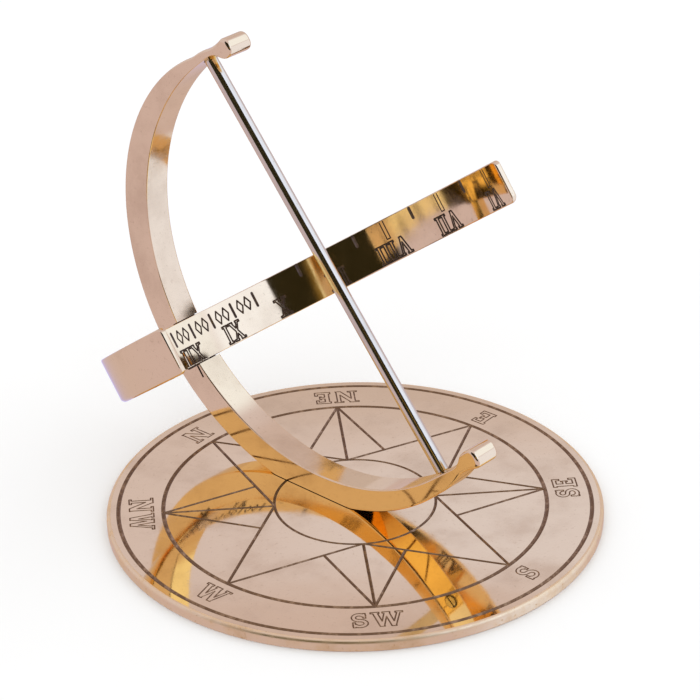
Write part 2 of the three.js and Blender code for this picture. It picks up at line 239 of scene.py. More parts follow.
def engraved_sheet(outline, grooves, circles=(), hole=None, folds=()):
    """A flat sheet's points, their depths and its triangles.

    hole is (centre, radius, steps), and folds are lines that no triangle crosses.
    """
    points, edges = [], []

    def add_line(line, closed):
        first = len(points)
        points.extend(line)
        count = len(line)
        edges.extend((first + i, first + (i + 1) % count) for i in range(count if closed else count - 1))

    add_line(outline, True)
    if hole:
        add_line(ring_points(hole[1], hole[2], hole[0]), True)
    for fold in folds:
        add_line(fold, False)
    for circle in circles:
        for radius in (circle.radius - circle.width / 2, circle.radius, circle.radius + circle.width / 2):
            add_line(ring_points(radius, circle.steps), True)
    for groove in grooves:
        start, end = np.array(groove.start), np.array(groove.end)
        along = (end - start) / np.linalg.norm(end - start)
        aside = np.array((-along[1], along[0])) * groove.width / 2
        turn = math.atan2(along[1], along[0])
        for shift in (-aside, 0 * aside, aside):
            add_line([tuple(start + shift), tuple(end + shift)], False)
        for tip in (start, end):
            add_line(ring_points(groove.width / 2, END_SIDES, tip, turn), True)
    found = delaunay_2d_cdt([Vector(p) for p in points], edges, [], 0, 1e-7, False)
    flat = np.array([tuple(p) for p in found[0]])
    triangles = np.array(found[2])
    if hole:
        middles = flat[triangles].mean(axis=1)
        outside = np.hypot(*(middles - np.array(hole[0])).T) > hole[1] * math.cos(math.pi / hole[2])
        triangles = triangles[outside]
    return flat, groove_depths(flat, grooves, circles), triangles


# ---------------------------------------------------------------- hollow letters

# A glyph is its width and a list of overlapping polygons, all with the cap height as 1. What is engraved
# is the polygons' joint outline.
STEM = 0.19
SERIF = 0.09


def slant(bottom, top, width=STEM):
    """A bar from the baseline to the cap line, between the middles of its two ends."""
    half = width / 2
    return [(bottom - half, 0), (bottom + half, 0), (top + half, 1), (top - half, 1)]


def box_shape(left, bottom, right, top):
    return [(left, bottom), (right, bottom), (right, top), (left, top)]


def serif(middle, level, reach=0.2):
    """A flat serif on the baseline (level 0) or under the cap line (level 1)."""
    low = level * (1 - SERIF)
    return box_shape(middle - reach, low, middle + reach, low + SERIF)


def ribbon(line, width):
    """A strip of even width along a curved line, as a row of four-sided pieces."""
    line = np.array(line)
    along = np.gradient(line, axis=0)
    along /= np.linalg.norm(along, axis=1)[:, None]
    aside = np.stack((-along[:, 1], along[:, 0]), axis=1) * width / 2
    left, right = [[tuple(p) for p in side] for side in (line + aside, line - aside)]
    return [[right[i], right[i + 1], left[i + 1], left[i]] for i in range(len(line) - 1)]


def s_curve():
    """The middle line of an S: anticlockwise round its upper bowl, then clockwise round its lower one."""
    middle, rise, steps = 0.34, 0.205, 12
    points = []
    for i in range(steps + 1):
        angle = math.radians(20 + 250 * i / steps)
        points.append((middle + 0.22 * math.cos(angle), 0.705 + rise * math.sin(angle)))
    for i in range(1, steps + 1):
        angle = math.radians(90 - 250 * i / steps)
        points.append((middle + 0.24 * math.cos(angle), 0.295 + rise * math.sin(angle)))
    return points


GLYPHS = {
    "I": (0.42, [slant(0.21, 0.21), serif(0.21, 0), serif(0.21, 1)]),
    "V": (0.95, [slant(0.475, 0.2), slant(0.475, 0.76, 0.13), serif(0.2, 1), serif(0.76, 1, 0.17)]),
    "X": (
        0.95,
        [slant(0.76, 0.2), slant(0.19, 0.75, 0.13)]
        + [serif(0.76, 0, 0.18), serif(0.2, 1, 0.18), serif(0.19, 0, 0.16), serif(0.75, 1, 0.16)],
    ),
    "N": (
        1.04,
        [slant(0.2, 0.2, 0.16), slant(0.84, 0.84, 0.16), slant(0.84, 0.2, 0.24)]
        + [serif(0.2, 0), serif(0.16, 1), serif(0.84, 1)],
    ),
    "E": (
        0.8,
        [slant(0.2, 0.2), box_shape(0.04, 0, 0.72, 0.15), box_shape(0.04, 0.85, 0.68, 1)]
        + [box_shape(0.2, 0.43, 0.52, 0.57), box_shape(0.6, 0, 0.72, 0.3), box_shape(0.57, 0.7, 0.68, 1)]
        + [box_shape(0.45, 0.36, 0.52, 0.64)],
    ),
    "S": (
        0.68,
        ribbon(s_curve(), 0.17) + [box_shape(0.5, 0.64, 0.6, 0.98), box_shape(0.06, 0.02, 0.16, 0.38)],
    ),
    "W": (
        1.3,
        [slant(0.4, 0.17), slant(0.4, 0.62, 0.13), slant(0.86, 0.64), slant(0.86, 1.13, 0.13)]
        + [serif(0.17, 1, 0.17), serif(0.62, 1, 0.15), serif(1.13, 1, 0.15)],
    ),
}


def joint_outline(polygons):
    """The edges round the outside of a set of overlapping polygons."""
    points, faces = [], []
    for polygon in polygons:
        faces.append(list(range(len(points), len(points) + len(polygon))))
        points.extend(Vector(p) for p in polygon)
    found = delaunay_2d_cdt(points, [], faces, 1, 1e-6, True)
    covered = [face for face, sources in zip(found[2], found[5]) if sources]
    uses = Counter(tuple(sorted((face[i], face[(i + 1) % 3]))) for face in covered for i in range(3))
    return [(tuple(found[0][a]), tuple(found[0][b])) for (a, b), count in uses.items() if count == 1]


def text_grooves(text, height, squeeze, spacing, place, line, depth):
    """Grooves of a short word. place carries a point, measured from the word's middle, onto the sheet."""
    widths = [GLYPHS[letter][0] * height * squeeze for letter in text]
    left = -(sum(widths) + spacing * (len(text) - 1)) / 2
    grooves = []
    for letter, width in zip(text, widths):
        for start, end in joint_outline(GLYPHS[letter][1]):
            ends = [place(left + x * height * squeeze, (y - 0.5) * height) for x, y in (start, end)]
            grooves.append(Groove(*ends, line, depth))
        left += width + spacing
    return grooves


# ---------------------------------------------------------------- meshes


def new_piece(name, mesh_data, matrix, materials):
    """An object from a bmesh in millimetres, with all its faces shaded smooth."""
    bmesh.ops.remove_doubles(mesh_data, verts=mesh_data.verts, dist=2e-4)
    bmesh.ops.dissolve_degenerate(mesh_data, edges=mesh_data.edges, dist=1e-5)
    bmesh.ops.recalc_face_normals(mesh_data, faces=mesh_data.faces)
    for face in mesh_data.faces:
        face.smooth = True
    mesh = bpy.data.meshes.new(name)
    mesh_data.to_mesh(mesh)
    mesh_data.free()
    mesh.transform(matrix)
    for material in materials:
        mesh.materials.append(material)
    piece = bpy.data.objects.new(name, mesh)
    bpy.context.scene.collection.objects.link(piece)
    return piece


def cut_away(piece, tools):
    """Cuts tools out of a piece. The faces that they leave keep the tools' own material index."""
    for tool in tools:
        cut = piece.modifiers.new("cut", "BOOLEAN")
        cut.operation = "DIFFERENCE"
        cut.solver = "MANIFOLD"
        cut.object = tool
    bpy.context.view_layer.update()
    depsgraph = bpy.context.evaluated_depsgraph_get()
    mesh = bpy.data.meshes.new_from_object(piece.evaluated_get(depsgraph), depsgraph=depsgraph)
    piece.modifiers.clear()
    piece.data = mesh
    for tool in tools:
        bpy.data.objects.remove(tool)


def finish_piece(piece, body, node, slot, polish=None):
    """Shades a piece and puts it on its body, in place of its CAD node.

    Its normals come from polish, or else from a weighted normal modifier.
    """
    mesh = piece.data
    mesh.set_sharp_from_angle(angle=SHARP_ANGLE)
    sharp = mesh.attributes.get("sharp_edge") or mesh.attributes.new("sharp_edge", "BOOLEAN", "EDGE")
    sides = {}
    for polygon in mesh.polygons:
        for key in polygon.edge_keys:
            sides.setdefault(key, set()).add(polygon.material_index)
    for edge in mesh.edges:
        if len(sides.get(edge.key, ())) > 1:
            sharp.data[edge.index].value = True
    if polish:
        polish(piece)
    else:
        weighted = piece.modifiers.new("weighted", "WEIGHTED_NORMAL")
        weighted.keep_sharp = True
    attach(piece, body)
    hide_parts(node)


def add_grid(mesh_data, rows, closed_row=True, closed_column=False, material=POLISHED):
    """Quads between rows of 3-D points. Returns the rows' vertices."""
    made = [[mesh_data.verts.new(p) for p in row] for row in rows]
    for i in range(len(rows) if closed_column else len(rows) - 1):
        row, after = made[i], made[(i + 1) % len(rows)]
        count = len(row)
        for j in range(count if closed_row else count - 1):
            k = (j + 1) % count
            face = mesh_data.faces.new((row[j], row[k], after[k], after[j]))
            face.material_index = material
    return made


def turned_rows(profile, steps, centre=(0, 0)):
    """Rings of points about +Z through centre, one for each (radius, height)."""
    return [[(x, y, height) for x, y in ring_points(radius, steps, centre)] for radius, height in profile]


def quarter_round(radius, middle, start, steps):
    """Points on a quarter circle, from the angle start, in degrees, anticlockwise."""
    angles = [math.radians(start + 90 * i / steps) for i in range(steps + 1)]
    return [(middle[0] + radius * math.cos(a), middle[1] + radius * math.sin(a)) for a in angles]


def turned_solid(mesh_data, profile, steps, material=POLISHED):
    """A closed turned solid. profile runs from the axis at the bottom to the axis at the top."""
    rings = add_grid(mesh_data, turned_rows(profile[1:-1], steps), material=material)
    for ring, (_, height) in ((rings[0], profile[0]), (rings[-1], profile[-1])):
        tip = mesh_data.verts.new((0, 0, height))
        for j in range(steps):
            mesh_data.faces.new((ring[j], ring[(j + 1) % steps], tip)).material_index = material


def aimed(place, direction):
    """Carries +Z geometry from the origin to a place, pointing along a direction."""
    turn = Vector((0, 0, 1)).rotation_difference(Vector(direction).normalized())
    return Matrix.Translation(place) @ turn.to_matrix().to_4x4()


def cylinder_tool(radius, bottom, top, matrix, steps=96):
    mesh_data = bmesh.new()
    turned_solid(mesh_data, [(0, bottom), (radius, bottom), (radius, top), (0, top)], steps, PATINATED)
    return new_piece("tool", mesh_data, matrix, [])


def box_tool(size, matrix):
    mesh_data = bmesh.new()
    bmesh.ops.create_cube(mesh_data, size=1, matrix=Matrix.Diagonal((*size, 1)))
    for face in mesh_data.faces:
        face.material_index = PATINATED
    return new_piece("tool", mesh_data, matrix, [])


# ---------------------------------------------------------------- base plate


def rose_point(radius, bearing):
    """A point of the rose, at a bearing in degrees clockwise from its north."""
    angle = math.radians(bearing) - ROSE_TURN
    return Vector((radius * math.sin(angle), radius * math.cos(angle)))


def crossing(a, b, c, d):
    """Where the line from a to b crosses the line from c to d."""
    along, across = b - a, d - c
    return a + along * ((c - a).cross(across) / along.cross(across))


def rose_grooves():
    """The straight lines of the compass rose, and the compass points' letters."""
    inner, outer = RING_RADII[:2]
    lines = []
    for bearing in range(0, 360, 90):
        tip = rose_point(outer, bearing)
        next_tip = rose_point(outer, bearing + 90)
        valley = rose_point(inner, bearing + 45)
        diagonal_tip = rose_point(outer, bearing + 45)
        lines += [(tip, valley), (valley, next_tip), (diagonal_tip, valley)]
        for side, near in ((-45, tip), (135, next_tip)):
            far_valley = rose_point(inner, bearing + side)
            lines.append((diagonal_tip, crossing(diagonal_tip, far_valley, near, valley)))
    grooves = [Groove(tuple(a), tuple(b), STAR_WIDTH, GROOVE_DEPTH) for a, b in lines]
    for i, text in enumerate(COMPASS_POINTS):
        middle = rose_point(LETTER_RING, 45 * i)
        up = -middle.normalized()
        right = Vector((up.y, -up.x))

        def place(x, y):
            return tuple(middle + right * x + up * y)

        grooves += text_grooves(text, LETTER_HEIGHT, 1, LETTER_SPACING, place, LETTER_LINE, LETTER_DEPTH)
    return grooves


def add_sheet(mesh_data, points, triangles, depths):
    """Adds triangles over 3-D points. Those that reach below the surface are patinated."""
    verts = [mesh_data.verts.new(p) for p in points]
    for triangle in triangles:
        face = mesh_data.faces.new([verts[int(k)] for k in triangle])
        face.material_index = PATINATED if depths[triangle].max() > 0 else POLISHED


def base_plate(materials):
    mesh_data = bmesh.new()
    top_edge = PLATE_RADIUS - PLATE_EDGE
    centre = (0, SWIVEL.y)
    hole_radius = FOOT_SCREW["shank"] + CLEARANCE
    bore_radius = WASHER["outer"] + CLEARANCE
    circles = [Circle(r, w, GROOVE_DEPTH, PLATE_STEPS) for r, w in zip(RING_RADII, RING_WIDTHS)]
    flat, depths, triangles = engraved_sheet(
        ring_points(top_edge, PLATE_STEPS), rose_grooves(), circles, (centre, hole_radius, BORE_STEPS)
    )
    add_sheet(mesh_data, [(x, y, PLATE_TOP - d) for (x, y), d in zip(flat, depths)], triangles, depths)
    rim = quarter_round(PLATE_FOOT_EDGE, (PLATE_RADIUS - PLATE_FOOT_EDGE, PLATE_FOOT_EDGE), -90, 4)
    rim += quarter_round(PLATE_EDGE, (top_edge, PLATE_TOP - PLATE_EDGE), 0, 10)
    add_grid(mesh_data, turned_rows(rim, PLATE_STEPS), material=RIM)
    flat, depths, triangles = engraved_sheet(
        ring_points(PLATE_RADIUS - PLATE_FOOT_EDGE, PLATE_STEPS), [], hole=(centre, bore_radius, BORE_STEPS)
    )
    add_sheet(mesh_data, [(x, y, 0) for x, y in flat], triangles, depths)
    bore = [(bore_radius, 0), (bore_radius, COUNTERBORE_DEPTH)]
    bore += [(hole_radius, COUNTERBORE_DEPTH), (hole_radius, PLATE_TOP)]
    add_grid(mesh_data, turned_rows(bore, BORE_STEPS, centre), material=PATINATED)
    return new_piece("base_plate_engraved", mesh_data, TO_PLATE, materials)


# ---------------------------------------------------------------- hour band


def corner_share(along):
    """How much of its half width the strip keeps at a place, with its four corners rounded off."""
    angle = along / BAND_INNER_RADIUS
    to_end = min(angle + BAND_WEST_END, BAND_EAST_END - angle) * BAND_INNER_RADIUS
    missing = max(BAND_CORNER - to_end, 0)
    drawn_in = BAND_CORNER - math.sqrt(max(BAND_CORNER**2 - missing**2, 0))
    return 1 - drawn_in / (BAND_WIDTH / 2)


def band_point(along, across, out):
    """From the band's unrolled face, with along towards the east, into the dial's frame."""
    angle = along / BAND_INNER_RADIUS
    radius = BAND_INNER_RADIUS + out
    aside = BAND_OUTWARD * math.cos(angle) + EAST * math.sin(angle)
    return BAND_CENTRE + aside * radius + BAND_UP * (across * corner_share(along))


def band_section(inset):
    """The band's section as (across, out), from the inner face's upper border round to its lower one."""
    half = BAND_WIDTH / 2 - inset
    far = BAND_THICKNESS - inset
    edges = [max(edge - inset, 0.02) for edge in (BAND_INNER_EDGE, *BAND_OUTER_EDGES)]
    inner, lower, upper = edges
    section = quarter_round(inner, (half - inner, inset + inner), -90, 3)
    section += quarter_round(upper, (half - upper, far - upper), 0, 5)
    section += quarter_round(lower, (lower - half, far - lower), 90, 7)
    section += quarter_round(inner, (inner - half, inset + inner), 180, 3)
    return section


def hour_place(hour):
    """Where an hour before noon stands along the band."""
    return math.radians(NOON + hour * (HOUR_STEP + HOUR_SPREAD * abs(hour))) * BAND_INNER_RADIUS


def chain(points, width):
    """The grooves of a bent line."""
    return [Groove(a, b, width, ENGRAVING_DEPTH) for a, b in zip(points, points[1:])]


def hour_grooves():
    """Hour numerals, hour and half-hour marks, and a plain border of lozenges about noon."""
    grooves = []
    for hour, text in HOUR_NAMES.items():
        middle = hour_place(hour)
        level = NOON_LEVEL if hour == 0 else NUMERAL_LEVEL

        def place(x, y):
            return middle - x, level - y

        size = (NUMERAL_HEIGHT, NUMERAL_SQUEEZE, NUMERAL_SPACING)
        grooves += text_grooves(text, *size, place, NUMERAL_LINE, ENGRAVING_DEPTH)
        if abs(hour) > 2:  # the border takes the place of the marks nearer to noon
            left, right = middle - HOUR_MARK_WIDTH / 2, middle + HOUR_MARK_WIDTH / 2
            low, high = HOUR_MARK_BOTTOM, MARK_TOP
            grooves += chain([(left, high), (left, low), (right, low), (right, high)], HOUR_LINE)
    for half in HALF_HOURS:
        middle = hour_place(half)
        grooves += chain([(middle, MARK_TOP), (middle, HALF_HOUR_BOTTOM)], HALF_HOUR_WIDTH)
    return grooves + border_grooves()


def border_grooves():
    """A row of hollow lozenges with a short bar after every second one."""
    grooves = []
    low, high = BORDER_LEVEL - BORDER_HEIGHT / 2, BORDER_LEVEL + BORDER_HEIGHT / 2
    for i in range(BORDER_COUNT):
        middle = BORDER_START * BAND_INNER_RADIUS + i * BORDER_PITCH
        if i % 3 == 2:
            grooves += chain([(middle, low), (middle, high)], BORDER_BAR_WIDTH)
        else:
            left, right = (middle - LOZENGE_REACH, BORDER_LEVEL), (middle + LOZENGE_REACH, BORDER_LEVEL)
            grooves += chain([(middle, high), right, (middle, low), left, (middle, high)], NUMERAL_LINE)
    return grooves


def towards_axis(place):
    """The way from a place on the band to the band's own axis, and the degrees it lies east of the bow."""
    place = TO_DIAL.inverted() @ place - BAND_CENTRE
    angle = math.atan2(place.dot(EAST), place.dot(BAND_OUTWARD))
    return -BAND_OUTWARD * math.cos(angle) - EAST * math.sin(angle), math.degrees(angle)


def band_lean(degrees):
    """How far the inner face's normals lean upwards, as a slope."""
    lean = 0
    for slope, start, full in BAND_LEANS:
        share = min(max((degrees - start) / (full - start), 0), 1)
        lean += slope * share**2 * (3 - 2 * share)
    return lean


def polish_inner_face(piece):
    """Shades the inner face as one smooth cylinder, whatever triangles the engraving leaves on it."""
    mesh = piece.data
    turn = TO_DIAL.to_3x3().normalized()
    normals = [Vector((0, 0, 0))] * len(mesh.loops)  # a zero normal leaves the shading as it is
    for polygon in mesh.polygons:
        inward, _ = towards_axis(polygon.center)
        if polygon.material_index == PATINATED or polygon.normal.dot(turn @ inward) < 0.999:
            continue
        for loop in polygon.loop_indices:
            inward, degrees = towards_axis(mesh.vertices[mesh.loops[loop].vertex_index].co)
            normals[loop] = turn @ (inward + BAND_UP * band_lean(degrees)).normalized()
    mesh.normals_split_custom_set(normals)


def hour_band(materials):
    mesh_data = bmesh.new()
    west = BAND_END_EDGE - BAND_WEST_END * BAND_INNER_RADIUS
    east = BAND_EAST_END * BAND_INNER_RADIUS - BAND_END_EDGE
    stations = np.linspace(west, east, BAND_STATIONS)
    border = BAND_WIDTH / 2 - BAND_INNER_EDGE
    folds = [[(u, -border), (u, border)] for u in stations[1:-1]]
    outline = [(u, -border) for u in stations] + [(u, border) for u in stations[::-1]]
    flat, depths, triangles = engraved_sheet(outline, hour_grooves(), folds=folds)
    # A hair-thin triangle along the sheet's straight border would cut across the ring.
    triangles = triangles[np.ptp(flat[triangles][:, :, 0], axis=1) < 2 * (stations[1] - stations[0])]
    points = [band_point(x, y, d) for (x, y), d in zip(flat, depths)]
    add_sheet(mesh_data, points, triangles, depths)
    rows = [[band_point(u, *p) for p in band_section(0)] for u in stations]
    add_grid(mesh_data, rows, closed_row=False)
    for end, way in ((west, -1), (east, 1)):
        rows = []
        for turn in np.linspace(0, math.pi / 2, 6):
            inset = BAND_END_EDGE * (1 - math.cos(turn))
            along = end + way * BAND_END_EDGE * math.sin(turn)
            rows.append([band_point(along, *p) for p in band_section(inset)])
        made = add_grid(mesh_data, rows)
        mesh_data.faces.new(made[-1])
    return new_piece("hour_band_engraved", mesh_data, TO_DIAL, materials)


# ---------------------------------------------------------------- meridian bow


def bow_radii(degrees):
    """The crescent's inner and outer radius at an angle from its middle, upwards positive."""
    end = LOWER_END if degrees < 0 else UPPER_END
    share = abs(degrees) / BOW_ARC_ANGLE
    inner = BOW_INNER_RADIUS + (end["inner"] - BOW_INNER_RADIUS) * share**2
    thickness = end["neck"] + (BOW_MIDDLE_THICKNESS - end["neck"]) * (1 - share ** end["fullness"])
    return inner, inner + thickness


def crescent_arc(start, end, side, edge):
    """Points (x, y, edge radius) along the inner (0) or outer (1) side of the crescent."""
    arc = []
    for degrees in np.linspace(start, end, BOW_ARC_STEPS):
        radius = bow_radii(degrees)[side]
        angle = math.radians(degrees)
        arc.append((radius * math.cos(angle), radius * math.sin(angle), edge))
    return arc


def hoof(size):
    """An end's outline from outside to inside: neck, waist, heel, domed end face and toe.

    Each bend is a control point, an end point and the radius of the edge along it.
    """
    inner, waist, end, toe, heel = (size[key] for key in ("inner", "waist", "end", "toe", "heel"))
    outer, waist_outer, toe_root = inner + size["neck"], size["waist_outer"], size["toe_root"]
    fillet = HOOF_FILLET
    bends = [
        ((-waist / 2, outer), (-waist, waist_outer), BOW_OUTER_EDGE),
        ((-(waist + end) / 2, waist_outer - HOOF_HOLLOW), (HOOF_DOME - end, heel), HOOF_EDGE),
        ((-end, heel), (-end, (heel + toe) / 2), HOOF_EDGE),
        ((-end, toe), (HOOF_DOME - end, toe), BOW_OUTER_EDGE),
        ((-toe_root - fillet, toe - HOOF_HOLLOW / 2), (-toe_root, (toe + inner) / 2), BOW_OUTER_EDGE),
        ((fillet - toe_root, inner), (3 * fillet - toe_root, inner), BOW_INNER_EDGE),
    ]
    points = [(-fillet, outer, BOW_OUTER_EDGE)]
    for control, end_point, edge in bends:
        start = np.array(points[-1][:2])
        for share in np.arange(1, HOOF_BEND_STEPS + 1) / HOOF_BEND_STEPS:
            place = (1 - share) ** 2 * start + 2 * share * (1 - share) * np.array(control)
            points.append((*(place + share**2 * np.array(end_point)), edge))
    return points


def even_loop(points, spacing):
    """The same closed line with its points evenly spaced."""
    loop = np.array(points + points[:1])
    lengths = np.linalg.norm(np.diff(loop[:, :2], axis=0), axis=1)
    keep = np.concatenate(([True], lengths > 1e-9))
    loop, run = loop[keep], np.concatenate(([0], np.cumsum(lengths[keep[1:]])))
    marks = np.arange(0, run[-1] - spacing / 2, spacing)
    return np.stack([np.interp(marks, run, column) for column in loop.T], axis=1)


def smoothed(values, reach):
    """A closed line's values, each averaged with its neighbours."""
    return sum(np.roll(values, shift, axis=0) for shift in range(-reach, reach + 1)) / (2 * reach + 1)


def bow_body(materials):
    """The crescent with its two hooves, as one outline given the bow's width and rounded edges."""
    outer = crescent_arc(-BOW_ARC_ANGLE, BOW_ARC_ANGLE, 1, BOW_OUTER_EDGE)
    inner = crescent_arc(BOW_ARC_ANGLE, -BOW_ARC_ANGLE, 0, BOW_INNER_EDGE)
    lower = [(x, -y, edge) for x, y, edge in hoof(LOWER_END)[::-1]]
    loop = even_loop(outer + hoof(UPPER_END) + inner + lower, BOW_SPACING)
    edge = smoothed(loop[:, 2], 8)
    loop = smoothed(loop[:, :2], 2)
    along = np.roll(loop, -1, axis=0) - np.roll(loop, 1, axis=0)
    along /= np.linalg.norm(along, axis=1)[:, None]
    inward = np.stack((-along[:, 1], along[:, 0]), axis=1)
    mesh_data = bmesh.new()
    rows = []
    for side in (1, -1):
        for turn in np.linspace(0, math.pi / 2, 6)[::side]:
            inset = loop + inward * (edge * (1 - math.sin(turn)))[:, None]
            height = side * (BOW_WIDTH / 2 - edge * (1 - math.cos(turn)))
            rows.append([(x, y, z) for (x, y), z in zip(inset, height)])
    made = add_grid(mesh_data, rows)
    mesh_data.faces.new(made[0])
    mesh_data.faces.new(made[-1])
    return new_piece("meridian_bow_cast", mesh_data, TO_DIAL, materials)


DOWN = Vector((math.cos(LATITUDE), -math.sin(LATITUDE), 0))  # in the dial's frame, as are the places below
BAND_SEAT = band_point(0, 0, BAND_THICKNESS)
BOW_BACK = BOW_INNER_RADIUS + BOW_MIDDLE_THICKNESS
BAND_SCREW_HEAD = BAND_SEAT + BAND_OUTWARD * (BOW_BACK - BAND_SEAT.length - HEAD_SINK)
LOWER_NECK = Vector((ROD_OFFSET, -LOWER_END["inner"], 0))
UPPER_NECK = Vector((ROD_OFFSET, UPPER_END["inner"], 0))


def notch_tool():
    """The slot that the band sits in."""
    mesh_data = bmesh.new()
    half = BAND_WIDTH / 2 + CLEARANCE
    far = BAND_THICKNESS + CLEARANCE
    section = [(-half, -OVERSHOOT), (-half, far), (half, far), (half, -OVERSHOOT)]
    stations = np.linspace(-NOTCH_HALF_LENGTH, NOTCH_HALF_LENGTH, 61)
    rows = [[band_point(u, *p) for p in section] for u in stations]
    made = add_grid(mesh_data, rows, material=PATINATED)
    for row in (made[0], made[-1]):
        mesh_data.faces.new(row).material_index = PATINATED
    return new_piece("tool", mesh_data, TO_DIAL, [])


def meridian_bow(materials):
    """The bow with the band's slot, the saw cut, a flat under its foot and the bores of rod and screws."""
    width, depth, length = SAW_CUT
    saw_place = band_point(0, -BAND_WIDTH / 2, width) - EAST * BOW_WIDTH / 2
    saw_turn = Matrix.Rotation(BAND_DROOP, 4, "Z")
    foot_place = aimed(DOWN * (DIAL_HEIGHT - BACKLASH + 2 * OVERSHOOT), DOWN)
    head_seat = LOWER_END["neck"] - HEAD_SINK - GNOMON_SCREW["head_height"] - CLEARANCE
    head_depth = BAND_SCREW["head_height"] + CLEARANCE
    hole_depth = (BAND_SCREW_HEAD - BAND_SEAT).length + OVERSHOOT
    below = aimed(LOWER_NECK, (0, -1, 0))
    behind = aimed(BAND_SCREW_HEAD, BAND_OUTWARD)
    # Each bore: the radius of what goes in it, its bottom, its top and its place.
    bores = [
        (FOOT_SCREW["shank"], -FOOT_BORE_DEPTH, OVERSHOOT, aimed(DOWN * DIAL_HEIGHT, DOWN)),
        (ROD_RADIUS, -OVERSHOOT, ROD_SEAT_DEPTH + CLEARANCE, aimed(UPPER_NECK, (0, 1, 0))),
        (GNOMON_SCREW["shank"], -OVERSHOOT, 2 * OVERSHOOT, below),
        (GNOMON_SCREW["head"], head_seat, 2 * OVERSHOOT, below),
        (BAND_SCREW["shank"], -hole_depth, 0, behind),
        (BAND_SCREW["head"], -head_depth, OVERSHOOT, behind),
    ]
    tools = [
        notch_tool(),
        box_tool((width, 2 * length, 2 * depth), TO_DIAL @ Matrix.Translation(saw_place) @ saw_turn),
        box_tool((BOW_INNER_RADIUS, BOW_INNER_RADIUS, 4 * OVERSHOOT), TO_DIAL @ foot_place),
    ]
    for radius, bottom, top, place in bores:
        tools.append(cylinder_tool(radius + CLEARANCE, bottom, top, TO_DIAL @ place))
    bow = bow_body(materials)
    cut_away(bow, tools)
    return bow


# ---------------------------------------------------------------- rod and fasteners


def gnomon_rod(materials):
    mesh_data = bmesh.new()
    profile = [
        (0, ROD_BOTTOM),
        (ROD_RADIUS - ROD_CHAMFER, ROD_BOTTOM),
        (ROD_RADIUS, ROD_BOTTOM + ROD_CHAMFER),
        (ROD_RADIUS, ROD_TOP - ROD_CHAMFER),
        (ROD_RADIUS - ROD_CHAMFER, ROD_TOP),
        (0, ROD_TOP),
    ]
    turned_solid(mesh_data, profile, 96)
    matrix = TO_DIAL @ aimed((ROD_OFFSET, 0, 0), (0, 1, 0))
    rod = new_piece("gnomon_rod_polished", mesh_data, matrix, materials)
    depth = ROD_BOTTOM + GNOMON_SCREW_BITE + CLEARANCE
    radius = GNOMON_SCREW["shank"] + CLEARANCE
    cut_away(rod, [cylinder_tool(radius, ROD_BOTTOM - OVERSHOOT, depth, matrix, BORE_STEPS)])
    return rod


def screw(name, size, length, matrix, materials):
    """A slotted cheese-head screw whose head ends at z = 0, with its shank running down from it."""
    shank, head, edge = size["shank"], size["head"], SCREW_EDGE
    neck = -size["head_height"]
    mesh_data = bmesh.new()
    profile = [(0, -length), (shank - edge, -length), (shank, edge - length), (shank, neck), (head, neck)]
    profile += quarter_round(edge, (head - edge, -edge), 0, 5) + [(0, 0)]
    turned_solid(mesh_data, profile, 72)
    piece = new_piece(name, mesh_data, matrix, materials)
    cut_away(piece, [box_tool((3 * head, size["slot"], size["head_height"]), matrix)])
    return piece


def foot_washer(matrix, materials):
    mesh_data = bmesh.new()
    inner, outer, top, edge = (WASHER[key] for key in ("inner", "outer", "thickness", "edge"))
    profile = [(inner + edge, 0), (outer - edge, 0), (outer, edge), (outer, top - edge)]
    profile += [(outer - edge, top), (inner + edge, top), (inner, top - edge), (inner, edge)]
    add_grid(mesh_data, turned_rows(profile, 72), closed_column=True)
    return new_piece("foot_washer_sprung", mesh_data, matrix, materials)


# ---------------------------------------------------------------- materials


BRASS = (1.0, 0.7, 0.28)
TARNISH = (0.62, 0.39, 0.15)
STEEL = (0.85, 0.67, 0.33)
DULL_STEEL = (0.5, 0.4, 0.2)
EDGE_TINT = (1.0, 0.92, 0.68, 1.0)  # of what a metal reflects at a grazing angle
GRAIN_HEIGHT = 0.002


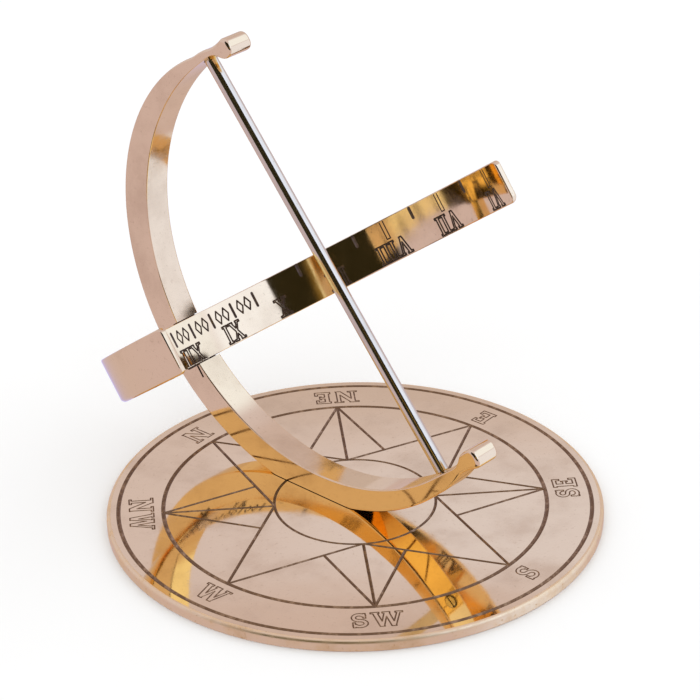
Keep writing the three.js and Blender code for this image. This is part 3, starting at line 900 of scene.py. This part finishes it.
class Nodes:
    """A node tree, with a short way to add a node to it."""

    def __init__(self, tree):
        self.tree = tree
        tree.nodes.clear()

    def add(self, kind, inputs=(), **settings):
        """Adds a node and returns it. inputs maps its input names or numbers to values or to sockets."""
        node = self.tree.nodes.new(kind)
        for key, value in settings.items():
            setattr(node, key, value)
        for key, value in dict(inputs).items():
            if isinstance(value, bpy.types.NodeSocket):
                self.tree.links.new(value, node.inputs[key])
            else:
                node.inputs[key].default_value = value
        return node

    def noise(self, place, scale, detail, roughness=0.5):
        inputs = {"Vector": place, "Scale": scale, "Detail": detail, "Roughness": roughness}
        return self.add("ShaderNodeTexNoise", inputs).outputs["Fac"]

    def ramp(self, value, low, high, bottom=0.0, top=1.0, smooth=True):
        """bottom where value is low, top where it is high, and a slope in between."""
        inputs = {0: value, 1: low, 2: high, 3: bottom, 4: top}
        kind = "SMOOTHSTEP" if smooth else "LINEAR"
        return self.add("ShaderNodeMapRange", inputs, interpolation_type=kind).outputs[0]

    def between(self, value, low, high, low_edge, high_edge):
        """1 where value lies between low and high, and 0 outside, across edges of the given widths."""
        rise = self.ramp(value, low - low_edge / 2, low + low_edge / 2)
        fall = self.ramp(value, high - high_edge / 2, high + high_edge / 2, 1, 0)
        return self.math("MULTIPLY", rise, fall)

    def math(self, operation, a, b=0.0):
        return self.add("ShaderNodeMath", {0: a, 1: b}, operation=operation).outputs[0]

    def mix(self, share, a, b):
        """The colour a where share is 0 and b where it is 1. Colours are three numbers, or a socket."""
        a, b = ((*colour, 1) if isinstance(colour, tuple) else colour for colour in (a, b))
        return self.add("ShaderNodeMix", {0: share, 6: a, 7: b}, data_type="RGBA").outputs[2]

    def surface(self, inputs):
        """Makes a principled shader the material's surface."""
        shader = self.add("ShaderNodeBsdfPrincipled", inputs)
        self.add("ShaderNodeOutputMaterial", {"Surface": shader.outputs[0]})


def metal(name, colour, tarnish, roughness, waves=0.02):
    """A polished metal: low waves in it, their height in millimetres, a fine grain, smudges and tarnish."""
    material = bpy.data.materials.new(name)
    material.use_nodes = True
    nodes = Nodes(material.node_tree)
    place = nodes.add("ShaderNodeTexCoord").outputs["Object"]
    smudges = nodes.ramp(nodes.noise(place, 55, 5, 0.6), 0.45, 0.75)
    specks = nodes.ramp(nodes.noise(place, 900, 3), 0.6, 0.75)
    grain = nodes.noise(place, 260, 3, 0.7)
    tone = nodes.mix(nodes.math("MULTIPLY", smudges, 0.35), colour, tarnish)
    tone = nodes.mix(nodes.math("MULTIPLY", specks, 0.3), tone, tarnish)
    rough = nodes.ramp(smudges, 0, 1, roughness, roughness * 2.2, False)
    rough = nodes.math("ADD", rough, nodes.math("MULTIPLY", specks, roughness))
    rough = nodes.math("ADD", rough, nodes.ramp(grain, 0.3, 0.8, 0, roughness * 0.8))
    wavy = {"Strength": 1, "Distance": waves * MM, "Height": nodes.noise(place, 70, 1)}
    wavy = nodes.add("ShaderNodeBump", wavy).outputs[0]
    grained = {"Strength": 1, "Distance": GRAIN_HEIGHT * MM, "Height": grain, "Normal": wavy}
    inputs = {"Base Color": tone, "Metallic": 1, "Roughness": rough, "Specular Tint": EDGE_TINT}
    inputs["Normal"] = nodes.add("ShaderNodeBump", grained).outputs[0]
    nodes.surface(inputs)
    return material


def patina(name, colour, bright, metallic=0.6):
    """What is left in grooves and bores: dull brown with brighter metal showing through in places."""
    material = bpy.data.materials.new(name)
    material.use_nodes = True
    nodes = Nodes(material.node_tree)
    place = nodes.add("ShaderNodeTexCoord").outputs["Object"]
    patches = nodes.ramp(nodes.noise(place, 420, 4, 0.65), 0.45, 0.7)
    tone = nodes.mix(nodes.math("MULTIPLY", patches, 0.45), colour, bright)
    rough = nodes.ramp(patches, 0, 1, 0.6, 0.35)
    nodes.surface({"Base Color": tone, "Metallic": metallic, "Roughness": rough})
    return material


rose_patina = patina("rose_patina", (0.22, 0.115, 0.04), (0.6, 0.37, 0.14), 0.7)
hour_patina = patina("hour_patina", (0.07, 0.04, 0.02), (0.2, 0.12, 0.05), 0.35)
bore_patina = patina("bore_patina", (0.11, 0.06, 0.035), (0.42, 0.3, 0.2))
plate_brass = metal("plate_brass", BRASS, TARNISH, 0.035)
rim_brass = metal("rim_brass", BRASS, TARNISH, 0.28)
bow_brass = metal("bow_brass", BRASS, TARNISH, 0.06, waves=0.03)
band_brass = metal("band_brass", BRASS, TARNISH, 0.045)
rod_steel = metal("rod_steel", STEEL, DULL_STEEL, 0.07, waves=0.004)
screw_steel = metal("screw_steel", STEEL, DULL_STEEL, 0.16, waves=0.004)
screw_brass = metal("screw_brass", BRASS, TARNISH, 0.14, waves=0.004)

# ---------------------------------------------------------------- the sundial

band_screw_length = (BAND_SCREW_HEAD - BAND_SEAT).length + BAND_SCREW_BITE
gnomon_screw_length = LOWER_END["neck"] - HEAD_SINK + GNOMON_SCREW_BITE
gnomon_screw_head = LOWER_NECK - Vector((0, LOWER_END["neck"] - HEAD_SINK, 0))
washer_bottom = COUNTERBORE_DEPTH - BACKLASH - WASHER["thickness"]
foot_screw_head = washer_bottom - BACKLASH - FOOT_SCREW["head_height"]
head_place = Matrix.Translation((0, SWIVEL.y, foot_screw_head))
under_plate = TO_PLATE @ head_place @ Matrix.Rotation(math.pi, 4, "X")
at_washer = TO_PLATE @ Matrix.Translation((0, SWIVEL.y, washer_bottom))
behind_bow = TO_DIAL @ aimed(BAND_SCREW_HEAD, BAND_OUTWARD)
below_bow = TO_DIAL @ aimed(gnomon_screw_head, (0, -1, 0))

finish_piece(base_plate([plate_brass, rose_patina, rim_brass]), "base", "base_plate", "plate_brass")
finish_piece(meridian_bow([bow_brass, bore_patina]), "bow", "meridian_bow", "bow_brass")
finish_piece(hour_band([band_brass, hour_patina]), "bow", "hour_band", "band_brass", polish_inner_face)
finish_piece(gnomon_rod([rod_steel, bore_patina]), "bow", "gnomon_rod", "rod_steel")
for name, size, length, place, finish, slot in (
    ("foot_screw", FOOT_SCREW, FOOT_SCREW_LENGTH, under_plate, screw_steel, "screw_steel"),
    ("band_screw", BAND_SCREW, band_screw_length, behind_bow, screw_brass, "screw_brass"),
    ("gnomon_screw", GNOMON_SCREW, gnomon_screw_length, below_bow, screw_steel, "screw_steel"),
):
    piece = screw(name + "_slotted", size, length, place, [finish, bore_patina])
    finish_piece(piece, "bow", name, slot)
finish_piece(foot_washer(at_washer, [screw_steel]), "bow", "foot_washer", "screw_steel")

# ---------------------------------------------------------------- floor, light and camera


ROOM_LOW = (0.6, 0.58, 1.14)  # what metal reflects of the room, below and above the horizon
ROOM_HIGH = (0.64, 0.68, 1.4)
DULL_LIGHT = (1.2, 1.2, 1.2)
WHITE = (1.0, 1.0, 1.0)

# Soft cards that metal reflects, each laid over the ones before it: colour, from and to which degrees west
# of south, from and to which height, and the softness of its left side, its right side and its two ends.
CARDS = (
    ((0.82, 1.02, 2.25), (-66, -15), (-50, 22), (8, 8, 4)),
    ((0.9, 1.17, 2.5), (-80, -35), (24, 55), (14, 14, 4)),
    ((0.94, 1.23, 2.75), (-35, 14.5), (22, 58), (14, 1.5, 4)),
    ((0.02, 0.018, 0.012), (14.5, 105), (3, 62), (1.5, 12, 4)),
    ((0.5, 0.33, 0.08), (35, 50), (18, 29), (4, 4, 4)),
    ((0.7, 0.81, 1.76), (-133.5, -95), (30.4, 33.4), (10, 14, 2)),
    ((0.59, 0.59, 1.15), (-165, -95), (33.2, 60), (14, 14, 1.2)),
    ((0.56, 0.57, 1.1), (-165, -95), (10, 29.7), (14, 14, 1.5)),
)


def studio():
    """A white room to the camera and to dull surfaces, and a soft room with cards to polished metal."""
    world = bpy.data.worlds.new("studio")
    world.use_nodes = True
    bpy.context.scene.world = world
    nodes = Nodes(world.node_tree)
    towards = nodes.add("ShaderNodeTexCoord").outputs["Generated"]
    parts = nodes.add("ShaderNodeSeparateXYZ", {0: towards})
    east, north, up = (parts.outputs[k] for k in range(3))
    west, south = (nodes.math("MULTIPLY", share, -1) for share in (east, north))
    bearing = nodes.math("DEGREES", nodes.math("ARCTAN2", west, south))
    height = nodes.math("DEGREES", nodes.math("ARCSINE", up))
    sky = nodes.mix(nodes.ramp(up, -0.02, 0.02), ROOM_LOW, ROOM_HIGH)
    for colour, bearings, heights, (left_edge, right_edge, end_edge) in CARDS:
        across = nodes.between(bearing, *bearings, left_edge, right_edge)
        upwards = nodes.between(height, *heights, end_edge, end_edge)
        sky = nodes.mix(nodes.math("MULTIPLY", across, upwards), sky, colour)
    rays = nodes.add("ShaderNodeLightPath")
    seen = nodes.mix(rays.outputs["Is Glossy Ray"], DULL_LIGHT, sky)
    seen = nodes.mix(rays.outputs["Is Camera Ray"], seen, WHITE)
    light = nodes.add("ShaderNodeBackground", {"Color": seen, "Strength": 1})
    nodes.add("ShaderNodeOutputWorld", {"Surface": light.outputs[0]})


FLOOR_HALF_SIZE = 6  # metres, as is the gap
FLOOR_GAP = 0.0001
FLOOR_COLOUR = (0.86, 0.86, 0.86, 1)


def floor():
    """A plain pale floor that polished metal doesn't reflect."""
    mesh_data = bmesh.new()
    bmesh.ops.create_grid(mesh_data, x_segments=1, y_segments=1, size=FLOOR_HALF_SIZE)
    mesh = bpy.data.meshes.new("floor")
    mesh_data.to_mesh(mesh)
    mesh_data.free()
    plane = bpy.data.objects.new("floor", mesh)
    plane.location.z = -FLOOR_GAP
    plane.visible_glossy = False
    material = bpy.data.materials.new("floor_white")
    material.use_nodes = True
    nodes = Nodes(material.node_tree)
    shader = nodes.add("ShaderNodeBsdfDiffuse", {"Color": FLOOR_COLOUR})
    nodes.add("ShaderNodeOutputMaterial", {"Surface": shader.outputs[0]})
    mesh.materials.append(material)
    bpy.context.scene.collection.objects.link(plane)


CAMERA_BEARING = math.radians(227.6)  # clockwise from north
CAMERA_HEIGHT = math.radians(28.27)
CAMERA_ROLL = math.radians(-1)
CAMERA_DISTANCE = 825.8
CAMERA_LENS = 140.5
PLATE_IN_VIEW = (1.53, -45.59)  # where the plate's middle stands, right of and above the middle of the view


def camera():
    """A camera with a long lens, over the dial's south-western side."""
    level, rise = math.cos(CAMERA_HEIGHT), math.sin(CAMERA_HEIGHT)
    back = Vector((math.sin(CAMERA_BEARING) * level, math.cos(CAMERA_BEARING) * level, rise))
    right = Vector((0, 0, 1)).cross(back).normalized()
    up = back.cross(right)
    cos_roll, sin_roll = math.cos(CAMERA_ROLL), math.sin(CAMERA_ROLL)
    right, up = right * cos_roll + up * sin_roll, up * cos_roll - right * sin_roll
    middle = Vector((0, 0, PLATE_TOP)) - right * PLATE_IN_VIEW[0] - up * PLATE_IN_VIEW[1]
    place = middle + back * CAMERA_DISTANCE
    seen_by = bpy.data.cameras.new("camera")
    seen_by.lens = CAMERA_LENS
    seen_by.clip_start = 0.05
    seen_by.clip_end = 20
    made = bpy.data.objects.new("camera", seen_by)
    made.matrix_world = Matrix.Translation(place * MM) @ Matrix((right, up, back)).transposed().to_4x4()
    bpy.context.scene.collection.objects.link(made)
    bpy.context.scene.camera = made


studio()
floor()
camera()
bpy.context.scene.view_settings.view_transform = "Standard"
